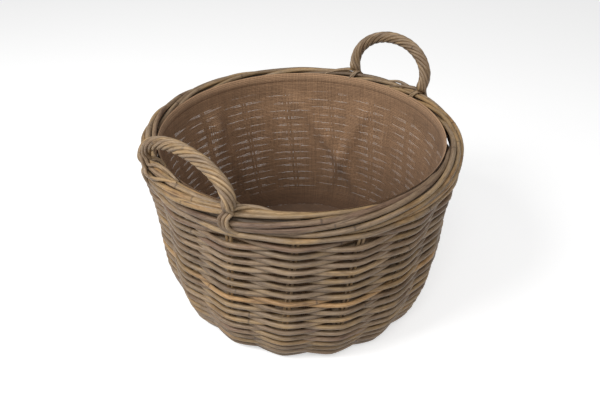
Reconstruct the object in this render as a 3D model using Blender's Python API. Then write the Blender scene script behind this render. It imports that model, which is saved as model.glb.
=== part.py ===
"""Wicker log basket: a round, woven rattan basket with two roped bow handles and a hessian bag.

Seventeen hairpin rods stand round the wall as pairs of stakes. Their feet lie inside the woven
base mat and their tips end inside the hollow of the rolled border. Long weavers run in one spiral
from the foot to the border, in front of one pair of stakes and behind the next; the odd number of
pairs makes every turn change sides. Units are metres, +Z is up, the origin is at the middle of
the base on the floor, and the handles stand on -X and +X.
"""
import math

import bpy
from mathutils import Vector

# ---- driving dimensions -------------------------------------------------------------------------
RIM_RADIUS = 0.270          # outside of the border
HEIGHT = 0.329              # floor to the top of the border
BORDER_HEIGHT = 0.038       # the rolled border, seen end on
BORDER_WIDTH = 0.030
PAIRS = 17                  # pairs of stakes round the wall
FIRST_PAIR = math.pi        # one pair's tips stand in the middle of the -X handle
LEAN = math.radians(7.1)    # the pairs' feet stand this far back round the basket from their tips
LEAN_HEIGHT = 0.291         # the lean ends here, just under the border
GAP = 0.0003                # air between pieces that touch

STAKE = 0.0048              # diameter of a stake
STAKE_SPACING = 0.0064      # between the two stakes of a pair
WEAVER = 0.0076             # diameter of a weaver
ROW_PITCH = 0.0083          # rise of the spiral in one turn, along the wall
WEAVER_COUNT = 11           # weavers in the wall, end to end along the spiral
TURNS_PER_WEAVER = 3

BORDER_RODS = 4
BORDER_ROD = 0.0080
BORDER_TWIST = PAIRS / BORDER_RODS      # turns round the roll in one turn round the basket

HANDLE_CORE = 0.008
HANDLE_ROPE = 0.021         # diameter over the roped strands
HANDLE_TIE = 0.005
# Each handle: name, angle of its middle, rise over the border, lean outwards at the top, half its
# widest width, angle from its middle to a foot, and the feet's radius.
HANDLES = [("handle_left", math.radians(182.3), 0.052, -0.009, 0.0944, math.radians(19.8), 0.2665),
           ("handle_right", math.radians(1.9), 0.082, 0.018, 0.0800, math.radians(16.7), 0.2535)]

BASE_RADIUS = 0.202
BASE_THICKNESS = 0.0187
STICK = 0.0064
STICKS_EACH_WAY = 4
STICK_LENGTH = 0.290
STAKE_FOOT_RADIUS = 0.165   # where the hairpin turns inside the base mat
STAKE_FOOT_Z = 0.0105

CLOTH = 0.002               # thickness of the plain liner solid
LINER_CLEARANCE = 0.0150    # from the middle of the wall to the outside of the liner
LINER_FOOT = [(0.0, 0.0255), (0.186, 0.0255), (0.2030, 0.0290), (0.2100, 0.0390)]   # (r, z)

# The middle of the wall, from the edge of the base, round the foot and up to the border: (r, z).
WALL_POINTS = [(0.165, 0.0105), (0.190, 0.0105), (0.207, 0.0108), (0.2165, 0.0140),
               (0.2225, 0.0220), (0.2275, 0.036), (0.2360, 0.061), (0.2438, 0.097),
               (0.2472, 0.145), (0.2485, 0.194), (0.2520, 0.240), (0.2585, 0.282)]
FIRST_ROW = 0.0525          # along the wall's curve, from STAKE_FOOT_RADIUS to the first row
STAKE_TIP = (0.2545, 0.3030)
TOP_WALE_RADIUS = 0.2643    # the last row, in front of the stakes and just under the border
TOP_WALE_Z = 0.2866
TOP_WALES = 4

TAN = (0.42, 0.33, 0.23)
GREY_BROWN = (0.30, 0.24, 0.18)
PALE_TAN = (0.48, 0.40, 0.29)
HESSIAN = (0.25, 0.17, 0.10)

BORDER_RADIUS = RIM_RADIUS - BORDER_WIDTH / 2
BORDER_Z = HEIGHT - BORDER_HEIGHT / 2
BORDER_SLIMMER = (BORDER_HEIGHT - BORDER_WIDTH) / 2


# ---- small tools --------------------------------------------------------------------------------
def clear_scene():
    for item in list(bpy.data.objects):
        bpy.data.objects.remove(item, do_unlink=True)


def material(name, colour, roughness):
    shade = bpy.data.materials.new(name)
    shade.use_nodes = True
    surface = shade.node_tree.nodes["Principled BSDF"]
    surface.inputs["Base Color"].default_value = (*colour, 1.0)
    surface.inputs["Roughness"].default_value = roughness
    surface.inputs["Metallic"].default_value = 0.0
    return shade


def make_object(name, points, faces, colour, roughness=0.7):
    mesh = bpy.data.meshes.new(name)
    mesh.from_pydata([tuple(point) for point in points], [], faces)
    mesh.materials.append(material(name, colour, roughness))
    mesh.update()
    mesh.shade_smooth()
    thing = bpy.data.objects.new(name, mesh)
    bpy.context.scene.collection.objects.link(thing)
    return thing


def ring_faces(rings, sides):
    """Quads between rings of points that follow each other, and a flat cap at either end."""
    faces = []
    for ring in range(rings - 1):
        low = ring * sides
        high = low + sides
        for side in range(sides):
            other = (side + 1) % sides
            faces.append((low + side, low + other, high + other, high + side))
    faces.append(tuple(reversed(range(sides))))
    faces.append(tuple((rings - 1) * sides + side for side in range(sides)))
    return faces


def sweep(name, path, radius, sides, colour, normals=None, phase=0.0):
    """A rod along a path, mitred at its bends. Its section turns with the normals, if given."""
    points = []
    count = len(path)
    normal = None
    for index in range(count):
        start = min(index, count - 2)
        ahead = (path[start + 1] - path[start]).normalized()
        end = max(index, 1)
        behind = (path[end] - path[end - 1]).normalized()
        along = (ahead + behind).normalized()
        stretch = 1.0 / max(along.dot(ahead), 0.7)
        if normals is not None:
            normal = normals[index]
        elif normal is None:
            normal = along.orthogonal()
        normal = (normal - along * normal.dot(along)).normalized()
        side_way = along.cross(normal)
        bend = ahead - behind
        for side in range(sides):
            turn = 2 * math.pi * side / sides + phase
            offset = normal * math.cos(turn) + side_way * math.sin(turn)
            if bend.length > 1e-6:
                way = bend.normalized()
                offset = offset + way * offset.dot(way) * (stretch - 1.0)
            points.append(path[index] + offset * radius)
    return make_object(name, points, ring_faces(count, sides), colour)


def smooth_curve(controls, steps):
    """Catmull-Rom curve through the control points, as a list of Vectors."""
    knots = [Vector(point) for point in controls]
    knots = [knots[0] * 2 - knots[1]] + knots + [knots[-1] * 2 - knots[-2]]
    curve = []
    for index in range(1, len(knots) - 2):
        a, b, c, d = knots[index - 1:index + 3]
        for step in range(steps):
            t = step / steps
            curve.append(0.5 * ((b * 2) + (c - a) * t + (a * 2 - b * 5 + c * 4 - d) * t * t
                                + (b * 3 - a - c * 3 + d) * t ** 3))
    curve.append(knots[-2])
    return curve


def around(angle, radius, height):
    return Vector((radius * math.cos(angle), radius * math.sin(angle), height))


# ---- the wall's middle surface ------------------------------------------------------------------
WALL_CURVE = smooth_curve(WALL_POINTS, 12)
WALL_LENGTHS = [0.0]
for before, after in zip(WALL_CURVE, WALL_CURVE[1:]):
    WALL_LENGTHS.append(WALL_LENGTHS[-1] + (after - before).length)


def wall_at(distance):
    """Point (r, z) and outward normal of the wall's middle, at a distance along its curve."""
    index = 0
    while index < len(WALL_LENGTHS) - 2 and WALL_LENGTHS[index + 1] < distance:
        index += 1
    step = WALL_CURVE[index + 1] - WALL_CURVE[index]
    share = (distance - WALL_LENGTHS[index]) / (WALL_LENGTHS[index + 1] - WALL_LENGTHS[index])
    point = WALL_CURVE[index] + step * share
    along = step.normalized()
    return point, Vector((along.y, -along.x))


def lean_at(height):
    """How far round the basket a stake stands from its own tip, at a height."""
    return -LEAN * max(0.0, 1.0 - height / LEAN_HEIGHT)


def on_wall(angle, distance, offset):
    """A point beside the stake whose tip is at an angle, and the outward normal there."""
    point, outward = wall_at(distance)
    moved = point + outward * offset
    there = angle + lean_at(point.y)
    place = around(there, moved.x, moved.y)
    normal = around(there, outward.x, outward.y)
    return place, normal


def pair_angle(index):
    return FIRST_PAIR + 2 * math.pi * index / PAIRS


def sideways(angle):
    """The level direction along the wall at an angle."""
    return Vector((-math.sin(angle), math.cos(angle), 0.0))


# ---- pieces -------------------------------------------------------------------------------------
def stake_pair(index):
    """One hairpin rod: up one stake, and back down its twin, with the turn inside the base."""
    up = []
    down = []
    for radius, height in WALL_POINTS + [STAKE_TIP]:
        angle = pair_angle(index) + lean_at(height)
        aside = sideways(angle) * (STAKE_SPACING / 2)
        up.append(around(angle, radius, height) - aside)
        down.insert(0, around(angle, radius, height) + aside)
    angle = pair_angle(index) + lean_at(STAKE_FOOT_Z)
    turn = around(angle, STAKE_FOOT_RADIUS - STAKE_SPACING / 2, STAKE_FOOT_Z)
    aside = sideways(angle) * (STAKE_SPACING / 4)
    path = down + [turn + aside, turn - aside] + up
    return sweep(f"stake_pair_{index + 1:02d}", path, STAKE / 2, 4, GREY_BROWN)


def wave_height(angle_step):
    """How far a weaver's middle stands off the stakes, so that it clears both of a pair."""
    span = 0.24 * angle_step
    reach = STAKE_SPACING / 2 + STAKE / 4
    clear = STAKE / 2 + WEAVER / 2 + 2 * GAP
    return clear / (1.0 - 2.0 * reach / span)


def weaver(index):
    """One long rod, three turns of the wall's spiral."""
    angle_step = 2 * math.pi / PAIRS
    height = wave_height(angle_step)
    first = index * TURNS_PER_WEAVER * PAIRS
    last = first + TURNS_PER_WEAVER * PAIRS
    path = []
    normals = []
    for step in range(first, last + 1):
        side = 1.0 if step % 2 == 0 else -1.0
        distance = FIRST_ROW + ROW_PITCH * step / PAIRS
        place, normal = on_wall(pair_angle(step), distance, side * height)
        path.append(place)
        normals.append(normal)
    cut = 1.0 - 0.002 / (path[-1] - path[-2]).length
    path[-1] = path[-2].lerp(path[-1], cut)
    colour = TAN if index % 2 else GREY_BROWN
    return sweep(f"weaver_{index + 1:02d}", path, WEAVER / 2, 4, colour, normals,
                 phase=math.pi / 4)


def roll_point(angle, radius, turn):
    """A point round the border's roll: turn 0 faces out, a quarter turn, at full radius, up."""
    out = (radius - BORDER_SLIMMER) * math.cos(turn)
    return around(angle, BORDER_RADIUS + out, BORDER_Z + radius * math.sin(turn))


def border_rod(index):
    """One of the rods rolled round the rim. They pass the stakes' tips on either side."""
    steps = 2 * PAIRS
    radius = (BORDER_HEIGHT - BORDER_ROD) / 2
    path = []
    for step in range(steps + 1):
        share = step / steps
        if step == steps:
            share -= 0.002 / (2 * math.pi * BORDER_RADIUS)
        turn = math.pi / 4 + 2 * math.pi * (index / BORDER_RODS + BORDER_TWIST * share)
        path.append(roll_point(FIRST_PAIR + 2 * math.pi * share, radius, turn))
    return sweep(f"border_rod_{index + 1}", path, BORDER_ROD / 2, 5, GREY_BROWN)


def top_wale(index):
    """A rod that fills the rim's last row, in front of every pair, from one handle's foot to the
    next. Odd ones run between the feet of a handle, even ones round the front and the back."""
    feet = []
    for _, middle, _, _, _, foot_angle, _ in reversed(HANDLES):
        feet += [middle - foot_angle, middle + foot_angle]
    feet.append(feet[0] + 2 * math.pi)
    clear = math.radians(2.0)
    start = feet[index] + clear
    end = feet[index + 1] - clear
    steps = max(2, round((end - start) / math.radians(8.0)))
    path = []
    normals = []
    for step in range(steps + 1):
        angle = start + (end - start) * step / steps
        path.append(around(angle, TOP_WALE_RADIUS, TOP_WALE_Z))
        normals.append(around(angle, 1.0, 0.0))
    return sweep(f"top_wale_{index + 1}", path, WEAVER / 2, 4, TAN, normals, phase=math.pi / 4)


def bow_point(shape, share):
    """Middle line of a bow from one foot (0) over the top (0.5) to the other (1)."""
    middle, rise, lean, half_width, foot_angle, foot_radius = shape
    drop = math.sqrt(1.0 - (foot_radius * math.sin(foot_angle) / half_width) ** 2)
    tall = rise / (1.0 + drop)
    start = -math.asin(drop)
    turn = start + (math.pi - 2 * start) * share
    height = tall * (drop + math.sin(turn))
    outward = around(middle, foot_radius * math.cos(foot_angle) + lean * height / rise, 0.0)
    return outward + sideways(middle) * half_width * math.cos(turn) + Vector((0, 0, HEIGHT + height))


def hook(angle, radius, first_turn, last_turn, steps):
    """Points that follow the outside of the border's roll."""
    return [roll_point(angle, radius, first_turn + (last_turn - first_turn) * step / steps)
            for step in range(steps + 1)]


def handle(name, *shape):
    """Core rod hooked under the border at both ends, the roped cover on it, and two ties."""
    middle, _, _, _, foot_angle, _ = shape
    first, last, steps = 0.045, 0.955, 16
    bow = [bow_point(shape, first + (last - first) * step / steps) for step in range(steps + 1)]
    hook_radius = BORDER_HEIGHT / 2 + HANDLE_CORE / 2 + 2 * GAP
    feet = [middle + foot_angle, middle - foot_angle]
    arms = [hook(foot, hook_radius, math.radians(48), math.radians(-58), 6) for foot in feet]
    straight = 0.004
    first_exit = bow[0] + (bow[0] - bow[1]).normalized() * straight
    last_exit = bow[-1] + (bow[-1] - bow[-2]).normalized() * straight
    core = list(reversed(arms[0])) + [first_exit] + bow + [last_exit] + arms[1]
    sweep(f"{name}_core", core, HANDLE_CORE / 2, 6, PALE_TAN)
    rope_cover(f"{name}_rope", bow)
    tie(f"{name}_tie_1", feet[0], bow[0])
    tie(f"{name}_tie_2", feet[1], bow[-1])


def rope_cover(name, bow):
    """The strands laid round the core, as one tube with a bore for the core."""
    sides = 10
    inner = HANDLE_CORE / 2 * 1.12 + GAP
    points = []
    rings = len(bow)
    lengthwise = bow[1] - bow[0]
    normal = lengthwise.orthogonal()
    for index in range(rings):
        ahead = bow[min(index + 1, rings - 1)] - bow[max(index - 1, 0)]
        along = ahead.normalized()
        normal = (normal - along * normal.dot(along)).normalized()
        side_way = along.cross(normal)
        for radius in (HANDLE_ROPE / 2, inner):
            for side in range(sides):
                turn = 2 * math.pi * side / sides
                points.append(bow[index] + (normal * math.cos(turn)
                                            + side_way * math.sin(turn)) * radius)
    faces = []
    for index in range(rings - 1):
        for side in range(sides):
            other = (side + 1) % sides
            low = 2 * sides * index
            high = low + 2 * sides
            faces.append((low + side, low + other, high + other, high + side))
            low += sides
            high += sides
            faces.append((low + other, low + side, high + side, high + other))
    top = 2 * sides * (rings - 1)
    for side in range(sides):
        other = (side + 1) % sides
        faces.append((other, side, sides + side, sides + other))
        faces.append((top + side, top + other, top + sides + other, top + sides + side))
    return make_object(name, points, faces, PALE_TAN)


def tie(name, angle, foot):
    """A short rod from the rope's foot down over the inner shoulder of the border."""
    radius = BORDER_HEIGHT / 2 + HANDLE_TIE / 2 + 2 * GAP
    start = foot - around(angle, HANDLE_ROPE / 2 + HANDLE_TIE / 2 + 5 * GAP, 0.0)
    path = [start + Vector((0.0, 0.0, HANDLE_TIE)), start]
    path += hook(angle, radius, math.radians(112), math.radians(148), 3)
    return sweep(name, path, HANDLE_TIE / 2, 5, PALE_TAN)


def base_stick(index, across):
    """A stick of the base's cross: straight through the middle, then fanned towards its end."""
    place = index - (STICKS_EACH_WAY - 1) / 2
    fan = math.radians(22.5) * place
    middle = 0.035
    level = 0.0131 if across else 0.0055
    end = STICK_LENGTH / 2
    offset = place * (STICK + 0.0028)
    spread = end * math.sin(fan)
    reach = end * math.cos(fan)
    flat = [(-reach, spread), (-middle, offset), (middle, offset), (reach, spread)]
    if across:
        path = [Vector((-y, x, level)) for x, y in flat]
    else:
        path = [Vector((x, y, level)) for x, y in flat]
    word = "cross" if across else "long"
    return sweep(f"base_stick_{word}_{index + 1}", path, STICK / 2, 6, GREY_BROWN), path


def groove_cutter(name, path):
    """A groove for a stick, open at the top of the base, left out of the model."""
    wide = STICK / 2 + GAP
    points = []
    for index, place in enumerate(path):
        along = (path[min(index + 1, len(path) - 1)] - path[max(index - 1, 0)]).normalized()
        longer = along * (GAP if index else -GAP) if index in (0, len(path) - 1) else Vector()
        aside = Vector((-along.y, along.x, 0.0))
        for across, up in ((-wide, -wide), (wide, -wide), (wide, 0.03), (-wide, 0.03)):
            points.append(place + longer + aside * across + Vector((0.0, 0.0, up)))
    tool = make_object(name, points, ring_faces(len(path), 4), GREY_BROWN)
    tool.hide_render = True
    tool.display_type = "WIRE"
    return tool


def slot_cutter(index):
    """A flat slot for one hairpin's foot, left out of the model."""
    angle = pair_angle(index) + lean_at(STAKE_FOOT_Z)
    wide = (STAKE_SPACING + STAKE) / 2 + 3 * GAP
    tall = STAKE / 2 + 3 * GAP
    points = []
    for radius in (STAKE_FOOT_RADIUS - STAKE_SPACING / 2 - STAKE / 2 - 0.002, BASE_RADIUS + 0.01):
        for across, up in ((-wide, -tall), (wide, -tall), (wide, tall), (-wide, tall)):
            points.append(around(angle, radius, STAKE_FOOT_Z + up) + sideways(angle) * across)
    tool = make_object(f"slot_{index + 1}", points, ring_faces(2, 4), GREY_BROWN)
    tool.hide_render = True
    tool.display_type = "WIRE"
    return tool


def base_mat(stick_paths):
    """The woven base as a plain disc, with a groove for each stick and a slot for each hairpin."""
    sides = 2 * PAIRS
    points = []
    for height in (0.0, BASE_THICKNESS):
        for side in range(sides):
            points.append(around(2 * math.pi * (side + 0.5) / sides, BASE_RADIUS, height))
    disc = make_object("base_mat", points, ring_faces(2, sides), TAN)
    disc.data.shade_flat()
    tools = [groove_cutter(f"groove_{number}", path) for number, path in enumerate(stick_paths)]
    tools += [slot_cutter(index) for index in range(PAIRS)]
    for tool in tools:
        cut = disc.modifiers.new(tool.name, "BOOLEAN")
        cut.operation = "DIFFERENCE"
        cut.solver = "EXACT"
        cut.object = tool
    return disc


def liner_bag():
    """The hessian bag as a plain cup that follows the inside of the wall and the border."""
    outline = [Vector(point) for point in LINER_FOOT]
    for distance in (0.09, 0.12, 0.16, 0.21, 0.27):
        point, outward = wall_at(distance)
        outline.append(point - outward * LINER_CLEARANCE)
    tuck = BORDER_RADIUS - BORDER_WIDTH / 2 - 2 * GAP - 0.001
    outline += [Vector((tuck + 0.0025, 0.2895)), Vector((tuck, 0.298)), Vector((tuck, 0.314))]
    inner = [Vector((0.0, outline[0].y + CLOTH))]
    for index in range(1, len(outline)):
        after = outline[min(index + 1, len(outline) - 1)]
        along = (after - outline[index - 1]).normalized()
        inner.append(outline[index] + Vector((-along.y, along.x)) * CLOTH)
    inner[-1] = Vector((outline[-1].x - CLOTH, outline[-1].y))
    sides = 2 * PAIRS
    profile = outline[1:] + list(reversed(inner[1:]))
    points = [Vector((0.0, 0.0, outline[0].y)), Vector((0.0, 0.0, inner[0].y))]
    for side in range(sides):
        angle = 2 * math.pi * side / sides
        points += [around(angle, point.x, point.y) for point in profile]
    faces = []
    size = len(profile)
    for side in range(sides):
        near = 2 + side * size
        far = 2 + ((side + 1) % sides) * size
        for row in range(size - 1):
            faces.append((near + row, far + row, far + row + 1, near + row + 1))
        faces.append((0, far, near))
        faces.append((1, near + size - 1, far + size - 1))
    return make_object("liner_bag", points, faces, HESSIAN, 0.95)


# ---- the assembly -------------------------------------------------------------------------------
def build():
    clear_scene()
    for index in range(PAIRS):
        stake_pair(index)
    for index in range(WEAVER_COUNT):
        weaver(index)
    for index in range(BORDER_RODS):
        border_rod(index)
    for index in range(TOP_WALES):
        top_wale(index)
    for name, *shape in HANDLES:
        handle(name, *shape)
    paths = []
    for across in (False, True):
        for index in range(STICKS_EACH_WAY):
            paths.append(base_stick(index, across)[1])
    base_mat(paths)
    liner_bag()


build()
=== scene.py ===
"""The looks of a wicker log basket: woven rattan, rolled border, roped handles, hessian bag.

The design's sizes are the same as the CAD model's. Every rod is a swept tube whose points carry
their place in the rod's grain ("fibre") and its tint, and one rattan material reads both.
"""
import bisect
import math
import random

import bpy
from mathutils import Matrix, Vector, noise


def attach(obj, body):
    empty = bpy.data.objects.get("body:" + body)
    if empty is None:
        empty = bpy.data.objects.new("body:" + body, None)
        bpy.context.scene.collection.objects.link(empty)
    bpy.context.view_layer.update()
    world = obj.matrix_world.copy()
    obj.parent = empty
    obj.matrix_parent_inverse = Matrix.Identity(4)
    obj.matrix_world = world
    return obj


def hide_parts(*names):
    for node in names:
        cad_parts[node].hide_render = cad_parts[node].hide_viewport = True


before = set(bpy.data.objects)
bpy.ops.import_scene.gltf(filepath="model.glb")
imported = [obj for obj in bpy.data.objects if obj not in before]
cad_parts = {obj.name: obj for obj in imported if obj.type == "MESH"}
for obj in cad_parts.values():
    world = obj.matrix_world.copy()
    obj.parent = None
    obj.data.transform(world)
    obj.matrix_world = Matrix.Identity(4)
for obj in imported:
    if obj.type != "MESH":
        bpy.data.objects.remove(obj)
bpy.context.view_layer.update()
draws = random.Random(11)

# ---- the design, as in the CAD model ------------------------------------------------------------
RIM_RADIUS = 0.270
HEIGHT = 0.329
BORDER_HEIGHT = 0.038
BORDER_WIDTH = 0.030
BORDER_RADIUS = RIM_RADIUS - BORDER_WIDTH / 2
BORDER_Z = HEIGHT - BORDER_HEIGHT / 2
BORDER_SLIMMER = (BORDER_HEIGHT - BORDER_WIDTH) / 2
PAIRS = 17
BAY = 2 * math.pi / PAIRS
LEAN = math.radians(7.1)
LEAN_HEIGHT = 0.291
STAKE_SPACING = 0.0064
ROW_PITCH = 0.0083
WEAVERS = 11
TURNS_PER_WEAVER = 3
LAST_STEP = WEAVERS * TURNS_PER_WEAVER * PAIRS
FIRST_ROW = 0.0525
STAKE_TIP = (0.2545, 0.3030)
TOP_WALE_RADIUS = 0.2643
TOP_WALE_Z = 0.2866
WALL_POINTS = [(0.165, 0.0105), (0.190, 0.0105), (0.207, 0.0108), (0.2165, 0.0140),
               (0.2225, 0.0220), (0.2275, 0.036), (0.2360, 0.061), (0.2438, 0.097),
               (0.2472, 0.145), (0.2485, 0.194), (0.2520, 0.240), (0.2585, 0.282)]
# Each handle: name, angle of its middle, rise over the border, lean outwards at the top, half its
# widest width, angle from its middle to a foot, and the feet's radius.
HANDLES = [("handle_left", math.radians(182.3), 0.052, -0.009, 0.0944, math.radians(19.8), 0.2665),
           ("handle_right", math.radians(1.9), 0.082, 0.018, 0.0800, math.radians(16.7), 0.2535)]
HANDLE_ROPE = 0.021
STICKS_EACH_WAY = 4

# ---- the fine rods ------------------------------------------------------------------------------
WEAVER_RADIUS = 0.0040
WEAVE_HEIGHT = 0.0069       # a weaver's middle stands this far off the wall's middle at a pair
WEAVE_BEND = 0.975          # 0 would bend a weaver as a sine wave, 1 as a zigzag
WEAVER_END = 0.8            # in bays, the length over which a weaver's end leaves its row
WEAVER_END_SHIFT = 0.0040   # a weaver starts this much over its row and ends as much under it
WEAVER_END_TUCK = 0.0016    # and both its ends lie this much further in
STAKE_RADIUS = 0.0024
STAKE_POINTS = 40
STAKE_MARGIN = 0.002        # the stakes' smooth stretch stops this far from the wall's ends
BORDER_ROD_RADIUS = 0.0040
CORE_ROLL = 0.0070          # the border's hidden middle: three rods this far from its centre
CORE_ROD_RADIUS = 0.0050
CORE_TURNS = (0.6, 2.7, 4.8)
STRANDS = 8                 # strands roped round a handle
STRAND_RADIUS = 0.0029
STRAND_LAY = 0.105          # along the handle, one turn of a strand
INNER_ROD_RADIUS = 0.0058   # the rod inside a handle's strands
BASE_MIDDLE_Z = 0.0095
BASE_ROD_RADIUS = 0.0032
BASE_ROD_REACH = 0.190      # from the middle to a base rod's end
BASE_ROD_SPACING = 0.0092   # between the rods of one way, where the two ways cross
BASE_ROD_LEVELS = (0.0060, 0.0131)
BASE_FAN = math.radians(22.5)
MAT_ROD_RADIUS = 0.0026
MAT_RAYS = 16               # the base rods' arms, which the mat is woven round
MAT_START = 0.026
MAT_PITCH = 0.0106
MAT_TURNS = 16.5
MAT_SWING = 0.0066          # a mat rod's middle stands this far over or under an arm's middle


# ---- small tools --------------------------------------------------------------------------------
def smooth_curve(controls, steps):
    """Catmull-Rom curve through the control points, as a list of Vectors."""
    knots = [Vector(point) for point in controls]
    knots = [knots[0] * 2 - knots[1]] + knots + [knots[-1] * 2 - knots[-2]]
    curve = []
    for index in range(1, len(knots) - 2):
        a, b, c, d = knots[index - 1:index + 3]
        for step in range(steps):
            t = step / steps
            curve.append(0.5 * ((b * 2) + (c - a) * t + (a * 2 - b * 5 + c * 4 - d) * t * t
                                + (b * 3 - a - c * 3 + d) * t ** 3))
    curve.append(knots[-2])
    return curve


def lengths_along(curve):
    """The distance along a curve of each of its points."""
    lengths = [0.0]
    for before, after in zip(curve, curve[1:]):
        lengths.append(lengths[-1] + (after - before).length)
    return lengths


def around(angle, radius, height):
    return Vector((radius * math.cos(angle), radius * math.sin(angle), height))


def sideways(angle):
    """The level direction along the wall at an angle."""
    return Vector((-math.sin(angle), math.cos(angle), 0.0))


def ease(share):
    share = min(max(share, 0.0), 1.0)
    return share * share * (3.0 - 2.0 * share)


def wander(seed, *place):
    """Smooth noise, about -1 to 1, different for each seed."""
    where = list(place) + [0.0] * (3 - len(place))
    return noise.noise(Vector(where) + Vector((seed * 7.31, seed * 3.17, seed * 5.77)))


WALL_CURVE = smooth_curve(WALL_POINTS, 12)
WALL_LENGTHS = lengths_along(WALL_CURVE)


def profile_at(curve, lengths, distance):
    """Point (r, z) and outward normal of a profile, at a distance along its curve."""
    index = min(max(bisect.bisect_right(lengths, distance) - 1, 0), len(curve) - 2)
    step = curve[index + 1] - curve[index]
    share = (distance - lengths[index]) / (lengths[index + 1] - lengths[index])
    along = step.normalized()
    return curve[index] + step * share, Vector((along.y, -along.x))


def lean_at(height):
    """How far round the basket a stake stands from its own tip, at a height."""
    return -LEAN * max(0.0, 1.0 - height / LEAN_HEIGHT)


PAIR_DRIFT = [draws.uniform(-0.010, 0.010) for _ in range(PAIRS)]


def pair_angle(step):
    """The angle of a pair of stakes at its tips; between pairs for a step that isn't whole."""
    low = math.floor(step)
    share = step - low
    drift = PAIR_DRIFT[low % PAIRS] * (1 - share) + PAIR_DRIFT[(low + 1) % PAIRS] * share
    return math.pi + BAY * step + drift


def on_wall(step, distance, offset):
    """A point beside or between the pairs of stakes, offset outwards from the wall's middle."""
    point, outward = profile_at(WALL_CURVE, WALL_LENGTHS, distance)
    moved = point + outward * offset
    return around(pair_angle(step) + lean_at(point.y), moved.x, moved.y)


def roll_point(angle, radius, turn):
    """A point round the border's roll: turn 0 faces out, a quarter turn, at full radius, up."""
    out = (radius - BORDER_SLIMMER) * math.cos(turn)
    return around(angle, BORDER_RADIUS + out, BORDER_Z + radius * math.sin(turn))


# ---- materials ----------------------------------------------------------------------------------
class Graph:
    """A few short ways to build a material's nodes."""

    def __init__(self, name):
        self.material = bpy.data.materials.new(name)
        self.material.use_nodes = True
        self.tree = self.material.node_tree
        self.surface = self.tree.nodes["Principled BSDF"]

    def put(self, socket, value):
        if isinstance(value, bpy.types.NodeSocket):
            self.tree.links.new(value, socket)
        else:
            socket.default_value = value

    def attribute(self, name, output):
        node = self.tree.nodes.new("ShaderNodeAttribute")
        node.attribute_name = name
        return node.outputs[output]

    def split(self, colour):
        node = self.tree.nodes.new("ShaderNodeSeparateColor")
        self.put(node.inputs[0], colour)
        return node.outputs

    def axes(self, vector):
        node = self.tree.nodes.new("ShaderNodeSeparateXYZ")
        self.put(node.inputs[0], vector)
        return node.outputs

    def grey(self, value):
        node = self.tree.nodes.new("ShaderNodeCombineXYZ")
        for socket in node.inputs:
            self.put(socket, value)
        return node.outputs[0]

    def noise(self, vector, scale, detail=3.0, roughness=0.55):
        """Noise with its own scale, per metre, along each axis of the vector."""
        stretch = self.tree.nodes.new("ShaderNodeMapping")
        self.put(stretch.inputs["Vector"], vector)
        stretch.inputs["Scale"].default_value = scale
        node = self.tree.nodes.new("ShaderNodeTexNoise")
        self.put(node.inputs["Vector"], stretch.outputs[0])
        node.inputs["Scale"].default_value = 1.0
        node.inputs["Detail"].default_value = detail
        node.inputs["Roughness"].default_value = roughness
        return node.outputs[0]

    def math(self, operation, first, second=0.0, third=0.0):
        node = self.tree.nodes.new("ShaderNodeMath")
        node.operation = operation
        for socket, value in zip(node.inputs, (first, second, third)):
            self.put(socket, value)
        return node.outputs[0]

    def spread(self, value, low, high, to_low=0.0, to_high=1.0):
        node = self.tree.nodes.new("ShaderNodeMapRange")
        self.put(node.inputs["Value"], value)
        for name, number in (("From Min", low), ("From Max", high), ("To Min", to_low),
                             ("To Max", to_high)):
            node.inputs[name].default_value = number
        return node.outputs[0]

    def ramp(self, value, stops):
        node = self.tree.nodes.new("ShaderNodeValToRGB")
        self.put(node.inputs[0], value)
        elements = node.color_ramp.elements
        while len(elements) < len(stops):
            elements.new(0.5)
        for element, (place, colour) in zip(elements, stops):
            element.position = place
            element.color = (*colour, 1.0)
        return node.outputs[0]

    def mix(self, kind, factor, first, second):
        node = self.tree.nodes.new("ShaderNodeMix")
        node.data_type = "RGBA"
        node.blend_type = kind
        self.put(node.inputs[0], factor)
        for socket, value in ((node.inputs[6], first), (node.inputs[7], second)):
            self.put(socket, (*value, 1.0) if isinstance(value, tuple) else value)
        return node.outputs[2]

    def bump(self, height, strength, distance):
        node = self.tree.nodes.new("ShaderNodeBump")
        node.inputs["Strength"].default_value = strength
        node.inputs["Distance"].default_value = distance
        self.put(node.inputs["Height"], height)
        self.put(self.surface.inputs["Normal"], node.outputs[0])


GREY = (0.258, 0.182, 0.114)
GREY_BROWN = (0.222, 0.146, 0.085)
TAN = (0.335, 0.222, 0.108)
OCHRE = (0.410, 0.240, 0.102)
RED_BROWN = (0.180, 0.108, 0.066)
PALE = (0.520, 0.385, 0.250)
DARK = (0.045, 0.026, 0.016)
STAIN = (0.30, 0.245, 0.20)
DARK_STREAK = (0.42, 0.36, 0.32)
BLOTCH = (0.50, 0.43, 0.38)


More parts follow.
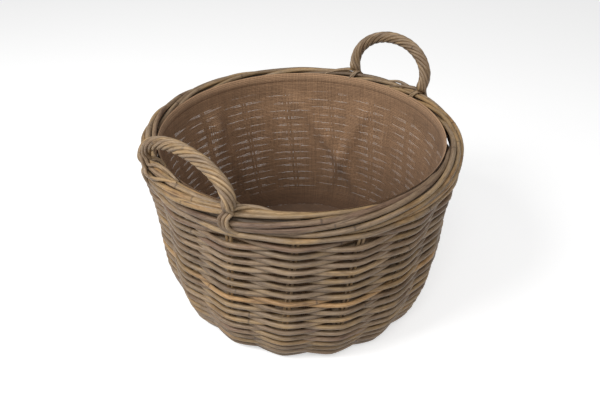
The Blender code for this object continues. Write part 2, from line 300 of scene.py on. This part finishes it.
def rattan(name, lift=1.12, gloss=0.33):
    """Rattan skin: tint from the rod, patches and streaks along its grain, dark node rings."""
    graph = Graph(name)
    fibre = graph.attribute("fibre", "Vector")
    hue, value, ring = graph.split(graph.attribute("tint", "Color"))[:3]
    patches = graph.noise(fibre, (60.0, 60.0, 14.0))
    stains = graph.noise(fibre, (150.0, 150.0, 24.0), 4.0, 0.65)
    blotches = graph.noise(fibre, (520.0, 520.0, 110.0), 4.0, 0.7)
    streaks = graph.noise(fibre, (1500.0, 1500.0, 22.0), 3.0, 0.6)
    shifted = graph.math("MULTIPLY_ADD", graph.spread(patches, 0.3, 0.7, -0.5, 0.5), 0.60, hue)
    colour = graph.ramp(shifted, [(0.02, RED_BROWN), (0.20, GREY_BROWN), (0.45, GREY), (0.70, TAN),
                                  (0.98, OCHRE)])
    colour = graph.mix("MIX", graph.spread(streaks, 0.54, 0.74, 0.0, 0.45), colour, PALE)
    for amount, tone in ((graph.spread(streaks, 0.48, 0.32, 0.0, 0.80), DARK_STREAK),
                         (graph.spread(blotches, 0.50, 0.70, 0.0, 0.85), BLOTCH),
                         (graph.spread(stains, 0.50, 0.74, 0.0, 0.90), STAIN),
                         (1.0, graph.grey(graph.math("MULTIPLY", value, lift)))):
        colour = graph.mix("MULTIPLY", amount, colour, tone)
    colour = graph.mix("MIX", ring, colour, DARK)
    graph.put(graph.surface.inputs["Base Color"], colour)
    roughness = graph.spread(blotches, 0.3, 0.7, gloss, gloss + 0.22)
    graph.put(graph.surface.inputs["Roughness"], roughness)
    graph.bump(graph.math("ADD", streaks, blotches), 0.6, 0.0008)
    return graph.material


THREAD_PITCH = 0.0030
# Painted shade in the low grooves between the threads.
THREAD_GAP_SHADE = (0.40, 0.34, 0.30)
# Painted shade and light: the cloth's colour by depth in the basket, from 0 at the hem to 1
# at the foot, painted lighter at the hem and much darker towards the foot, where shade falls.
DEPTH_PAINTED_SHADE = [(0.0, (1.15, 1.15, 1.15)), (0.5, (0.92, 0.90, 0.88)), (1.0, (0.26, 0.22, 0.19))]


def hessian(name, tone, open_share):
    """Open plain-woven jute. The "cloth" attribute carries a point's place on the uncut cloth in
    metres and, third, its depth in the basket, which sets its painted shade and light. The gaps
    close near the hem and at the foot."""
    graph = Graph(name)
    place = graph.attribute("cloth", "Vector")
    across, along, depth = graph.axes(place)
    slub = graph.noise(place, (120.0, 120.0, 120.0), 2.0)
    wobble = graph.spread(slub, 0.3, 0.7, -1.1, 1.1)
    thread = 2 * math.pi / THREAD_PITCH
    waves = [graph.math("SINE", graph.math("MULTIPLY_ADD", axis, thread, wobble))
             for axis in (across, along)]
    height = graph.math("MAXIMUM", *waves)
    both = graph.math("MINIMUM", *waves)
    warp = graph.noise(place, (360.0, 14.0, 1.0), 3.0, 0.6)
    weft = graph.noise(place, (14.0, 360.0, 1.0), 3.0, 0.6)
    mottle = graph.math("MULTIPLY", graph.math("ADD", warp, weft), 0.5)
    dark = tuple(part * 0.66 for part in tone)
    pale = tuple(part * 1.34 for part in tone)
    colour = graph.ramp(mottle, [(0.30, dark), (0.50, tone), (0.70, pale)])
    # Painted shade: darker where the threads lie low, between them.
    colour = graph.mix("MULTIPLY", graph.spread(height, 0.4, -0.7, 0.0, 0.75), colour, THREAD_GAP_SHADE)
    # Painted highlight: paler on the raised crossings of the threads.
    colour = graph.mix("MIX", graph.spread(both, 0.35, 1.0, 0.0, 0.25), colour, pale)
    # Painted shade and light by depth: lighter at the hem, darker towards the foot.
    colour = graph.mix("MULTIPLY", 1.0, colour, graph.ramp(depth, DEPTH_PAINTED_SHADE))
    graph.put(graph.surface.inputs["Base Color"], colour)
    threads = graph.spread(height, -0.55, 0.05, 1.0 - open_share, 1.0)
    low_down = graph.spread(depth, 0.82, 0.88)
    near_hem = graph.spread(depth, 0.17, 0.12)
    closed = graph.math("MAXIMUM", low_down, near_hem)
    graph.put(graph.surface.inputs["Alpha"], graph.math("MAXIMUM", threads, closed))
    graph.surface.inputs["Roughness"].default_value = 0.95
    graph.surface.inputs["Sheen Weight"].default_value = 0.05
    graph.surface.inputs["Sheen Roughness"].default_value = 0.6
    graph.bump(height, 0.6, 0.0008)
    return graph.material


# ---- rods ---------------------------------------------------------------------------------------
# A node ring's sections: distance from its middle and how dark it is there.
NODE_RING = ((-0.0022, 0.0), (-0.0005, 0.6), (0.0005, 0.6), (0.0022, 0.0))
RING_MARGIN = 0.006         # no node ring is nearer to a rod's end than this
SHORTEST_SECTION = 0.0004


def sections_along(lengths, rings):
    """Distances along a rod for its sections, each with how dark a node ring makes it there."""
    darks = {length: 0.0 for length in lengths}
    ring = draws.uniform(0.2, 1.0) * rings
    while RING_MARGIN < ring < lengths[-1] - RING_MARGIN:
        for off, dark in NODE_RING:
            darks[ring + off] = dark
        ring += draws.uniform(0.6, 1.4) * rings
    kept = []
    for station in sorted(darks):
        if not kept or station - kept[-1] > SHORTEST_SECTION:
            kept.append(station)
    return [(station, darks[station]) for station in kept]


def point_along(path, lengths, station):
    index = min(max(bisect.bisect_right(lengths, station) - 1, 0), len(path) - 2)
    gap = max(lengths[index + 1] - lengths[index], 1e-9)
    return path[index].lerp(path[index + 1], (station - lengths[index]) / gap)


class Bundle:
    """Rods gathered into one piece."""

    def __init__(self):
        self.points = []
        self.faces = []
        self.fibre = []
        self.tint = []

    def rod(self, path, radius, hue, value, sides=10, rings=0.55, taper=(1.0, 1.0), taper_over=0.03):
        """A swept rod. rings is the usual length between its node rings; taper scales its ends."""
        lengths = lengths_along(path)
        seed = draws.uniform(0.0, 900.0)
        sections = sections_along(lengths, rings)
        places = [point_along(path, lengths, station) for station, _ in sections]
        first = len(self.points)
        normal = (places[1] - places[0]).orthogonal()
        grain = draws.uniform(0.0, 50.0)
        for index, (station, dark) in enumerate(sections):
            ahead = places[min(index + 1, len(places) - 1)] - places[max(index - 1, 0)]
            along = ahead.normalized()
            normal = (normal - along * normal.dot(along)).normalized()
            aside = along.cross(normal)
            here = radius * (1.0 + 0.055 * wander(seed, station * 16.0))
            here *= taper[0] + (1.0 - taper[0]) * ease(station / taper_over)
            here *= taper[1] + (1.0 - taper[1]) * ease((lengths[-1] - station) / taper_over)
            here *= 1.0 + 0.09 * dark
            oval = 0.06 * wander(seed + 3.0, station * 5.0)
            for side in range(sides):
                turn = 2 * math.pi * side / sides
                reach_one = here * (1.0 + oval) * math.cos(turn)
                reach_two = here * (1.0 - oval) * math.sin(turn)
                self.points.append(places[index] + normal * reach_one + aside * reach_two)
                self.fibre.append((radius * math.cos(turn), radius * math.sin(turn),
                                   station + grain))
                self.tint.append((hue, value, dark, 1.0))
        self.wrap(first, len(sections), sides)

    def wrap(self, first, count, sides):
        """Faces between sections that follow each other, and a cap at either end."""
        for index in range(count - 1):
            low = first + index * sides
            high = low + sides
            for side in range(sides):
                other = (side + 1) % sides
                self.faces.append((low + side, low + other, high + other, high + side))
        last = first + (count - 1) * sides
        self.faces.append(tuple(first + side for side in reversed(range(sides))))
        self.faces.append(tuple(last + side for side in range(sides)))

    def piece(self, name, material, slot, *nodes):
        mesh = bpy.data.meshes.new(name)
        mesh.from_pydata(self.points, [], self.faces)
        fibre = mesh.attributes.new("fibre", "FLOAT_VECTOR", "POINT")
        fibre.data.foreach_set("vector", [part for row in self.fibre for part in row])
        tint = mesh.attributes.new("tint", "FLOAT_COLOR", "POINT")
        tint.data.foreach_set("color", [part for row in self.tint for part in row])
        mesh.materials.append(material)
        mesh.shade_smooth()
        mesh.set_sharp_from_angle(angle=math.radians(60))
        return settle(bpy.data.objects.new(name, mesh), slot, *nodes)


def settle(thing, slot, *nodes):
    """Adds a piece to the scene, on the basket's one body, in place of its CAD nodes."""
    bpy.context.scene.collection.objects.link(thing)
    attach(thing, "root")
    if nodes:
        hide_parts(*nodes)
    return thing


def tint_of(low, high, dull=0.86, bright=1.14):
    """A rod's hue on the rattan's ramp and its brightness."""
    return draws.uniform(low, high), draws.uniform(dull, bright)


# ---- the woven wall -----------------------------------------------------------------------------
def weave_joints():
    """Steps where one weaver ends and the next begins, always behind a pair."""
    joints = [0]
    while LAST_STEP - joints[-1] > 30:
        joints.append(joints[-1] + draws.randint(12, 26) | 1)
    return joints + [LAST_STEP]


def weave_path(start, end, opens, closes):
    """A weaver's middle line, in front of one pair of stakes and behind the next."""
    count = max(4, round((end - start) * 10))
    path = []
    for index in range(count + 1):
        step = start + (end - start) * index / count
        wave = math.asin(WEAVE_BEND * math.cos(math.pi * step))
        offset = WEAVE_HEIGHT * wave / math.asin(WEAVE_BEND)
        offset += 0.0006 * wander(1.0, step * 1.7)
        distance = FIRST_ROW + ROW_PITCH * step / PAIRS
        distance += 0.0009 * wander(2.0, step * 0.9)
        settled = ease((step - start) / WEAVER_END) if opens else 1.0
        leaving = ease((end - step) / WEAVER_END) if closes else 1.0
        distance += WEAVER_END_SHIFT * (leaving - settled)
        offset -= WEAVER_END_TUCK * (2.0 - leaving - settled)
        path.append(on_wall(step, distance, offset))
    return path


def weave_wall(skin):
    joints = weave_joints()
    overlap = 0.2
    bundles = [Bundle() for _ in range(WEAVERS)]
    for start, end in zip(joints, joints[1:]):
        home = min(start // (TURNS_PER_WEAVER * PAIRS), WEAVERS - 1)
        path = weave_path(start - overlap, min(end + overlap, LAST_STEP), start > 0, end < LAST_STEP)
        hue, value = tint_of(0.12, 0.92, 0.82, 1.18)
        bundles[home].rod(path, WEAVER_RADIUS * draws.uniform(0.93, 1.06), hue, value)
    for index, bundle in enumerate(bundles):
        bundle.piece(f"woven_rows_{index + 1:02d}", skin, "weavers", f"weaver_{index + 1:02d}")


def stakes(skin):
    """Two stakes for each pair, from inside the base to their tips in the border."""
    reach = WALL_LENGTHS[-1] - 2 * STAKE_MARGIN
    for index in range(PAIRS):
        bundle = Bundle()
        for side in (-1.0, 1.0):
            path = []
            spacing = side * (STAKE_SPACING / 2 + draws.uniform(-0.0002, 0.0004))
            for step in range(STAKE_POINTS):
                place = on_wall(index, STAKE_MARGIN + reach * step / (STAKE_POINTS - 1), 0.0)
                path.append(place + sideways(math.atan2(place.y, place.x)) * spacing)
            angle = pair_angle(index)
            path.append(around(angle, *STAKE_TIP) + sideways(angle) * spacing)
            hue, value = tint_of(0.35, 0.70, 1.25, 1.6)
            bundle.rod(path, STAKE_RADIUS, hue, value, sides=8, rings=0.16)
        bundle.piece(f"stakes_{index + 1:02d}", skin, "stakes", f"stake_pair_{index + 1:02d}")


# ---- the border ---------------------------------------------------------------------------------
def border_rod(bundle, start, bays, high, radius, roll):
    """A rod that comes out from under the roll, climbs slowly over it and dives inside. It is bays
    long, stops at the turn high, and lies roll from the border's centre where it shows."""
    steps = round(bays * 11)
    path = []
    low = math.radians(-88)
    seed = draws.uniform(0.0, 500.0)
    for step in range(steps + 1):
        share = step / steps
        along = share * bays
        turn = low + (high - low) * share
        turn += math.radians(13) * wander(seed + 9.0, along * 0.9) * ease(along / 0.5)
        deep = roll * (0.80 + 0.20 * ease(along / 0.28)) * (0.60 + 0.40 * ease((bays - along) / 0.7))
        deep += 0.0021 * wander(seed, along * 1.3)
        path.append(roll_point(pair_angle(start + along), deep, turn))
    hue, value = tint_of(0.05, 0.85, 0.78, 1.22)
    bundle.rod(path, radius, hue, value, sides=12, rings=0.42, taper=(0.75, 0.6), taper_over=0.05)


def border_core(skin):
    """The dark rods inside the roll."""
    core = Bundle()
    steps = 96
    for number, turn in enumerate(CORE_TURNS):
        path = []
        for step in range(steps + 1):
            angle = 2 * math.pi * step / steps
            path.append(roll_point(angle, CORE_ROLL, turn + 0.5 * math.sin(3 * angle + number)))
        core.rod(path[:-1] + [path[0].lerp(path[-2], 0.02)], CORE_ROD_RADIUS, 0.2, 0.40, sides=8)
    core.piece("border_core", skin, "border", *[f"border_rod_{index + 1}" for index in range(4)])


def border(skin):
    """A long rod from every pair of stakes, and a short thin one from two pairs in three."""
    border_core(skin)
    roll = BORDER_HEIGHT / 2 - BORDER_ROD_RADIUS
    for index in range(PAIRS):
        bundle = Bundle()
        begin = index + draws.uniform(-0.03, 0.06)
        border_rod(bundle, begin, draws.uniform(5.7, 6.4), math.radians(165),
                   BORDER_ROD_RADIUS * draws.uniform(0.88, 1.08), roll)
        if index % 3 < 2:
            border_rod(bundle, begin + 0.17, draws.uniform(1.6, 4.0), math.radians(110),
                       BORDER_ROD_RADIUS * draws.uniform(0.60, 0.80), roll - 0.0010)
        bundle.piece(f"border_rods_{index + 1:02d}", skin, "border")


def top_wales(skin):
    """The last row, in front of every pair, in lengths from one handle's foot to the next."""
    feet = []
    for _, middle, _, _, _, foot_angle, _ in reversed(HANDLES):
        feet += [middle - foot_angle, middle + foot_angle]
    feet.append(feet[0] + 2 * math.pi)
    raised = TOP_WALE_Z + 0.0034
    for index in range(4):
        bundle = Bundle()
        path = []
        start, end = feet[index:index + 2]
        count = round((end - start) / 0.038)
        for step in range(count + 1):
            angle = start + (end - start) * step / count
            bow = math.cos((angle - math.pi) / BAY * 2 * math.pi)
            path.append(around(angle, TOP_WALE_RADIUS + 0.0012 * bow,
                               raised + 0.0008 * wander(5.0, angle * 4.0)))
        bundle.rod(path, WEAVER_RADIUS * 1.04, 0.30 + 0.1 * index, 1.0)
        bundle.piece(f"top_row_{index + 1}", skin, "weavers", f"top_wale_{index + 1}")


# ---- the handles --------------------------------------------------------------------------------
def bow_frame(shape, share):
    """Middle of a bow, its direction and the way out of its curve, from foot 0 to foot 1."""
    middle, rise, lean, half_width, foot_angle, foot_radius = shape
    drop = math.sqrt(1.0 - (foot_radius * math.sin(foot_angle) / half_width) ** 2)
    tall = rise / (1.0 + drop)
    start = -math.asin(drop)
    turn = start + (math.pi - 2 * start) * share
    height = tall * (drop + math.sin(turn))
    outward = around(middle, foot_radius * math.cos(foot_angle) + lean * height / rise, 0.0)
    aside = sideways(middle)
    up = Vector((0.0, 0.0, 1.0))
    place = outward + aside * half_width * math.cos(turn) + up * (HEIGHT + height)
    climb = tall * math.cos(turn)
    along = around(middle, lean * climb / rise, climb) - aside * half_width * math.sin(turn)
    along.normalize()
    out = aside * math.cos(turn) * tall + up * math.sin(turn) * half_width
    out = (out - along * out.dot(along)).normalized()
    return place, along, out


def strand_helix(shape, phase, first, last, count):
    """A strand's way round the bow, which starts at the angle phase round it."""
    points = []
    spun = 0.0
    before = None
    reach = HANDLE_ROPE / 2 - STRAND_RADIUS
    for step in range(count + 1):
        share = first + (last - first) * step / count
        place, along, out = bow_frame(shape, share)
        if before is not None:
            spun += (place - before).length
        before = place
        turn = phase - 2 * math.pi * spun / STRAND_LAY
        points.append(place + (out * math.cos(turn) + along.cross(out) * math.sin(turn)) * reach)
    return points


# Where each foot's strands go once they leave the rope: angle round the basket from the foot and
# turn round the border's roll, in degrees, then how far off the roll the strand lies.
OUTSIDE_CURL = [(0.6, 48, 0), (-0.6, 20, 0), (-0.6, -12, 0), (0.6, -42, 0), (3.4, -66, 0),
                (7.5, -76, -0.004)]
OUTSIDE_DROP = [(0.0, 40, 0), (-0.2, 5, 0), (0.6, -35, 0), (2.2, -72, 0.001), (4.2, -92, 0.004)]
OVER_TOP = [(0.5, 74, 0.001), (3.5, 92, 0.001), (8.5, 112, 0), (14.0, 138, -0.004)]
INSIDE_DROP = [(0.3, 96, 0.001), (1.2, 126, 0.001), (3.2, 156, -0.001)]
LONG_SWEEP = [(-0.5, 34, 0.001), (2.0, 22, 0.001), (6.5, 34, 0.0005), (11.5, 62, 0),
              (15.5, 95, -0.003)]


def foot_run(angle, plan):
    """A strand's way over the border, from a plan of angles that starts at an angle."""
    reach = BORDER_HEIGHT / 2 + STRAND_RADIUS * 0.85
    return [roll_point(angle + math.radians(shift), reach + off, math.radians(turn))
            for shift, turn, off in plan]


def foot_runs(angle, foot, tips, outside_plans):
    """Each strand's way over the border at one foot, by the place of its tip round the rope: the
    three outermost go down the outside, the two innermost and the rest over the top or inside."""
    radial = Vector((foot.x, foot.y, 0.0)).normalized()
    aside = Vector((-radial.y, radial.x, 0.0))

    def inwards(strand):
        return -(tips[strand] - foot).dot(radial)

    def along_border(strand):
        return (tips[strand] - foot).dot(aside)

    order = sorted(range(STRANDS), key=inwards)
    beside = 2 * STRAND_RADIUS / RIM_RADIUS
    runs = {}
    for rank, strand in enumerate(sorted(order[:3], key=along_border)):
        runs[strand] = foot_run(angle + (rank - 1.0) * beside, outside_plans[rank])
    for rank, strand in enumerate(sorted(order[-2:], key=along_border)):
        plan = OVER_TOP if rank == 1 else INSIDE_DROP
        runs[strand] = foot_run(angle + (rank - 0.5) * beside, plan)
    for rank, strand in enumerate(sorted(order[3:-2], key=along_border)):
        plan = OVER_TOP if rank == 2 else INSIDE_DROP
        turned = [(shift * 0.6, turn - 16, off) for shift, turn, off in plan]
        runs[strand] = foot_run(angle + (rank - 1.0) * beside, turned)
    return runs


def handle(name, shape, skin):
    """A bow of eight roped strands round a rod; the strands spread over the border at both feet."""
    middle, _, _, _, foot_angle, _ = shape
    first, last = 0.050, 0.950
    helices = [strand_helix(shape, 2 * math.pi * strand / STRANDS, first, last, 60)
               for strand in range(STRANDS)]
    starts = foot_runs(middle + foot_angle, bow_frame(shape, first)[0],
                       [helix[0] for helix in helices], [OUTSIDE_CURL] * 3)
    ends = foot_runs(middle - foot_angle, bow_frame(shape, last)[0],
                     [helix[-1] for helix in helices], [OUTSIDE_DROP, OUTSIDE_DROP, LONG_SWEEP])
    rope = Bundle()
    for strand, helix in enumerate(helices):
        path = smooth_curve(starts[strand][::-1] + helix[::3] + ends[strand], 5)
        hue, value = tint_of(0.22, 0.62, 0.94, 1.14)
        rope.rod(path, STRAND_RADIUS * draws.uniform(0.95, 1.05), hue, value, sides=8, rings=0.5,
                 taper=(0.6, 0.6), taper_over=0.03)
    core = Bundle()
    steps = 40
    bow = [bow_frame(shape, 0.03 + 0.94 * step / steps)[0] for step in range(steps + 1)]
    core.rod(bow, INNER_ROD_RADIUS, 0.3, 0.6, sides=8)
    core.piece(f"{name}_inner_rod", skin, "handles", f"{name}_core")
    rope.piece(f"{name}_strands", skin, "handles", f"{name}_rope", f"{name}_tie_1", f"{name}_tie_2")


# ---- the base -----------------------------------------------------------------------------------
def base_rod(place, across):
    """One rod of the base's cross: side by side with its neighbours, then fanned to its ends."""
    fan = BASE_FAN * place
    level = BASE_ROD_LEVELS[across]
    half = 14
    path = []
    for step in range(-half, half + 1):
        reach = BASE_ROD_REACH * step / half
        out = ease((abs(reach) - 0.030) / 0.05)
        flat_y = place * BASE_ROD_SPACING * (1 - out) + abs(reach) * math.sin(fan) * out
        flat_x = reach * (1 - out + math.cos(fan) * out)
        height = level * (1 - out) + BASE_MIDDLE_Z * out
        flat = (-flat_y, flat_x) if across else (flat_x, flat_y)
        path.append(Vector((*flat, height)))
    return path


def base(skin):
    for across, word in enumerate(("long", "cross")):
        for index in range(STICKS_EACH_WAY):
            path = base_rod(index - (STICKS_EACH_WAY - 1) / 2, across)
            hue, value = tint_of(0.2, 0.8)
            bundle = Bundle()
            bundle.rod(path, BASE_ROD_RADIUS, hue, value, sides=8)
            number = index + 1
            bundle.piece(f"base_rod_{word}_{number}", skin, "base", f"base_stick_{word}_{number}")
    mat = Bundle()
    for start in (0, 1):
        path = []
        for step in range(round(MAT_TURNS * MAT_RAYS * 4) + 1):
            ray = step / 4
            angle = BASE_FAN / 2 + 2 * math.pi * ray / MAT_RAYS
            radius = MAT_START + MAT_PITCH * ray / MAT_RAYS + start * MAT_PITCH / 2
            swing = math.cos(math.pi * ray) * (1.0 if start else -1.0)
            path.append(around(angle, radius, BASE_MIDDLE_Z + MAT_SWING * swing))
        hue, value = tint_of(0.3, 0.8)
        mat.rod(path, MAT_ROD_RADIUS, hue, value, sides=7)
    mat.piece("base_weave", skin, "base", "base_mat")


# ---- the hessian bag ----------------------------------------------------------------------------
LINER_POINTS = [(0.196, 0.0265), (0.2045, 0.0310), (0.2105, 0.0410), (0.2225, 0.068),
                (0.2298, 0.105), (0.2328, 0.150), (0.2350, 0.200), (0.2385, 0.245),
                (0.2405, 0.275), (0.2385, 0.298), (0.2385, 0.312), (0.2410, 0.3225)]
LINER_CURVE = smooth_curve(LINER_POINTS, 12)
LINER_LENGTHS = lengths_along(LINER_CURVE)
LINER_GIRTH = 2 * math.pi * 0.238
LINER_DEPTH = 0.300         # of the cloth, from the hem's edge to the round base
LINER_FLOOR_Z = 0.0268
LINER_FLOOR_RADIUS = 0.2    # of the round base before it is sewn in
LINER_FLOOR_PAINTED_SHADE = 0.9     # painted shade: as deep in the basket as this share of the wall's depth
HEM_SHARE = 0.055           # of the wall's depth
HEM_DEPTH = 0.016
HEM_BULGE = 0.0026
# The wall's soft folds: angle at the floor in degrees, lean in radians of angle per metre of
# height, half width in radians, and depth.
LINER_FOLDS = [(-2, 3.2, 0.085, 0.0100), (35, -1.6, 0.075, 0.0080), (66, 1.9, 0.080, 0.0090),
               (104, -0.9, 0.080, 0.0090), (133, 0.5, 0.040, 0.0080), (181, -0.6, 0.100, 0.0060),
               (251, 0.8, 0.140, 0.0080), (318, -0.9, 0.120, 0.0080)]


def fold(angle, height, centre, slope, wide, deep):
    """How far a soft, leaning ridge stands in from the wall at a place."""
    off = (angle - centre - slope * height + math.pi) % (2 * math.pi) - math.pi
    return deep * math.exp(-(off / wide) ** 2)


def liner_point(angle, share):
    """A point of the bag's wall: share 0 at the hem, 1 where it meets its round base."""
    point, outward = profile_at(LINER_CURVE, LINER_LENGTHS, LINER_LENGTHS[-1] * (1.0 - share))
    height = point.y
    low = ease((height - 0.02) / 0.10)
    hang = ease((0.300 - height) / 0.06)
    sag = 0.0
    for centre, slope, wide, deep in LINER_FOLDS:
        sag += fold(angle, height, math.radians(centre), slope, wide, deep)
    loose = 0.0035 * wander(21.0, math.cos(angle) * 2.2, math.sin(angle) * 2.2, height * 9.0)
    fine = 0.0010 * wander(22.0, math.cos(angle) * 9.0, math.sin(angle) * 9.0, height * 30.0)
    inset = (sag * (0.35 + 0.65 * low) + abs(loose) + fine) * hang
    place = point - outward * inset
    return around(angle, place.x, place.y)


def cloth_object(name, columns, rows, place, flat, material):
    """A sleeve of cloth from a grid of points that closes on itself. flat gives each point's
    place on the uncut cloth and its depth in the basket, which the material reads to paint
    shade darker deeper down."""
    points = [place(column / columns, row / rows)
              for row in range(rows + 1) for column in range(columns)]
    faces = []
    for row in range(rows):
        for column in range(columns):
            after = (column + 1) % columns
            faces.append((row * columns + column, (row + 1) * columns + column,
                          (row + 1) * columns + after, row * columns + after))
    mesh = bpy.data.meshes.new(name)
    mesh.from_pydata(points, [], faces)
    cloth = mesh.attributes.new("cloth", "FLOAT_VECTOR", "CORNER")
    values = []
    for polygon in mesh.polygons:
        row, column = divmod(polygon.index, columns)
        corners = ((row, column), (row + 1, column), (row + 1, column + 1), (row, column + 1))
        for corner_row, corner_column in corners:
            values.extend(flat(corner_column / columns, corner_row / rows))
    cloth.data.foreach_set("vector", values)
    mesh.materials.append(material)
    mesh.shade_smooth()
    return bpy.data.objects.new(name, mesh)


def wall_place(column, row):
    return liner_point(2 * math.pi * column, row)


def wall_flat(column, row):
    return (LINER_GIRTH * column, LINER_DEPTH * row, row)


def floor_place(column, row):
    """A point of the bag's round base, from its edge at row 0 to its middle at row 1."""
    edge = liner_point(2 * math.pi * column, 1.0)
    share = 1.0 - row
    ripple = 0.0022 * wander(31.0, edge.x * share * 14.0, edge.y * share * 14.0)
    ripple += 0.0030 * wander(32.0, edge.x * share * 5.0, edge.y * share * 5.0)
    rim = share ** 6
    return Vector((edge.x * share, edge.y * share,
                   edge.z * rim + (LINER_FLOOR_Z + abs(ripple)) * (1 - rim)))


def floor_flat(column, row):
    angle = 2 * math.pi * column
    radius = LINER_FLOOR_RADIUS * (1 - row)
    return (radius * math.cos(angle), radius * math.sin(angle), LINER_FLOOR_PAINTED_SHADE)


def hem_place(column, row):
    """A point of the turned edge, which bulges inwards from the wall."""
    angle = 2 * math.pi * column
    top = liner_point(angle, 0.0)
    down = liner_point(angle, HEM_SHARE)
    inward = Vector((-math.cos(angle), -math.sin(angle), 0.0))
    bulge = HEM_BULGE * math.sin(math.pi * min(row * 1.02, 1.0)) ** 0.6
    return top.lerp(down, row) + inward * bulge


def hem_flat(column, row):
    # The hem lies at depth 0, where the cloth's painted light is brightest.
    return (LINER_GIRTH * column, HEM_DEPTH * row, 0.0)


def liner(cloth, hem_cloth):
    wall = cloth_object("liner_wall", 360, 90, wall_place, wall_flat, cloth)
    settle(wall, "hessian", "liner_bag")
    floor = cloth_object("liner_base", 120, 40, floor_place, floor_flat, hem_cloth)
    settle(floor, "hessian")
    hem = cloth_object("liner_hem", 240, 8, hem_place, hem_flat, hem_cloth)
    settle(hem, "hessian")


# ---- the stage ----------------------------------------------------------------------------------
def stage():
    """A pale floor that glows a little and throws no light back on the basket."""
    mesh = bpy.data.meshes.new("floor")
    size = 8.0
    mesh.from_pydata([(-size, -size, 0), (size, -size, 0), (size, size, 0), (-size, size, 0)], [],
                     [(0, 1, 2, 3)])
    floor = bpy.data.objects.new("floor", mesh)
    graph = Graph("floor_white")
    graph.surface.inputs["Base Color"].default_value = (0.80, 0.80, 0.80, 1.0)
    graph.surface.inputs["Roughness"].default_value = 0.9
    graph.surface.inputs["Emission Color"].default_value = (1.0, 1.0, 1.0, 1.0)
    graph.surface.inputs["Emission Strength"].default_value = 0.49
    mesh.materials.append(graph.material)
    floor.visible_diffuse = False
    bpy.context.scene.collection.objects.link(floor)


def lamp(name, place, target, size, watts):
    light = bpy.data.lights.new(name, "AREA")
    light.shape = "DISK"
    light.size = size
    light.energy = watts
    thing = bpy.data.objects.new(name, light)
    thing.location = place
    thing.rotation_euler = (Vector(target) - Vector(place)).to_track_quat("-Z", "Y").to_euler()
    bpy.context.scene.collection.objects.link(thing)


def lights():
    world = bpy.data.worlds.new("studio")
    bpy.context.scene.world = world
    world.use_nodes = True
    sky = world.node_tree.nodes["Background"]
    sky.inputs["Color"].default_value = (1.0, 1.0, 1.0, 1.0)
    sky.inputs["Strength"].default_value = 0.31
    lamp("key", (-1.55, 0.35, 1.75), (0.0, 0.0, 0.15), 0.9, 29.0)
    lamp("front", (-0.95, -1.15, 2.05), (0.0, 0.0, 0.2), 1.5, 23.0)
    bpy.context.scene.view_settings.view_transform = "Standard"


def camera():
    azimuth = math.radians(-45.5)
    elevation = math.radians(34.9)
    target = Vector((-0.0021, 0.0021, 0.1736))
    distance = 1.048
    forward = Vector((-math.sin(azimuth) * math.cos(elevation),
                      math.cos(azimuth) * math.cos(elevation), -math.sin(elevation)))
    lens = bpy.data.cameras.new("camera")
    lens.lens = 34.03
    lens.sensor_width = 36.0
    lens.clip_start = 0.01
    eye = bpy.data.objects.new("camera", lens)
    eye.location = target - forward * distance
    eye.rotation_euler = forward.to_track_quat("-Z", "Y").to_euler()
    bpy.context.scene.collection.objects.link(eye)
    bpy.context.scene.camera = eye


# ---- the assembly -------------------------------------------------------------------------------
camera()
lights()
stage()
weaver_skin = rattan("rattan_weavers")
stake_skin = rattan("rattan_stakes", 1.0, 0.6)
border_skin = rattan("rattan_border", 1.05, 0.38)
handle_skin = rattan("rattan_handles", 1.15, 0.38)
base_skin = rattan("rattan_base", 0.9, 0.6)
weave_wall(weaver_skin)
stakes(stake_skin)
border(border_skin)
top_wales(weaver_skin)
for name, *shape in HANDLES:
    handle(name, shape, handle_skin)
base(base_skin)
bag_cloth = hessian("hessian_bag", (0.340, 0.202, 0.112), 0.38)
hem_cloth = hessian("hessian_hem", (0.350, 0.212, 0.120), 0.0)
liner(bag_cloth, hem_cloth)
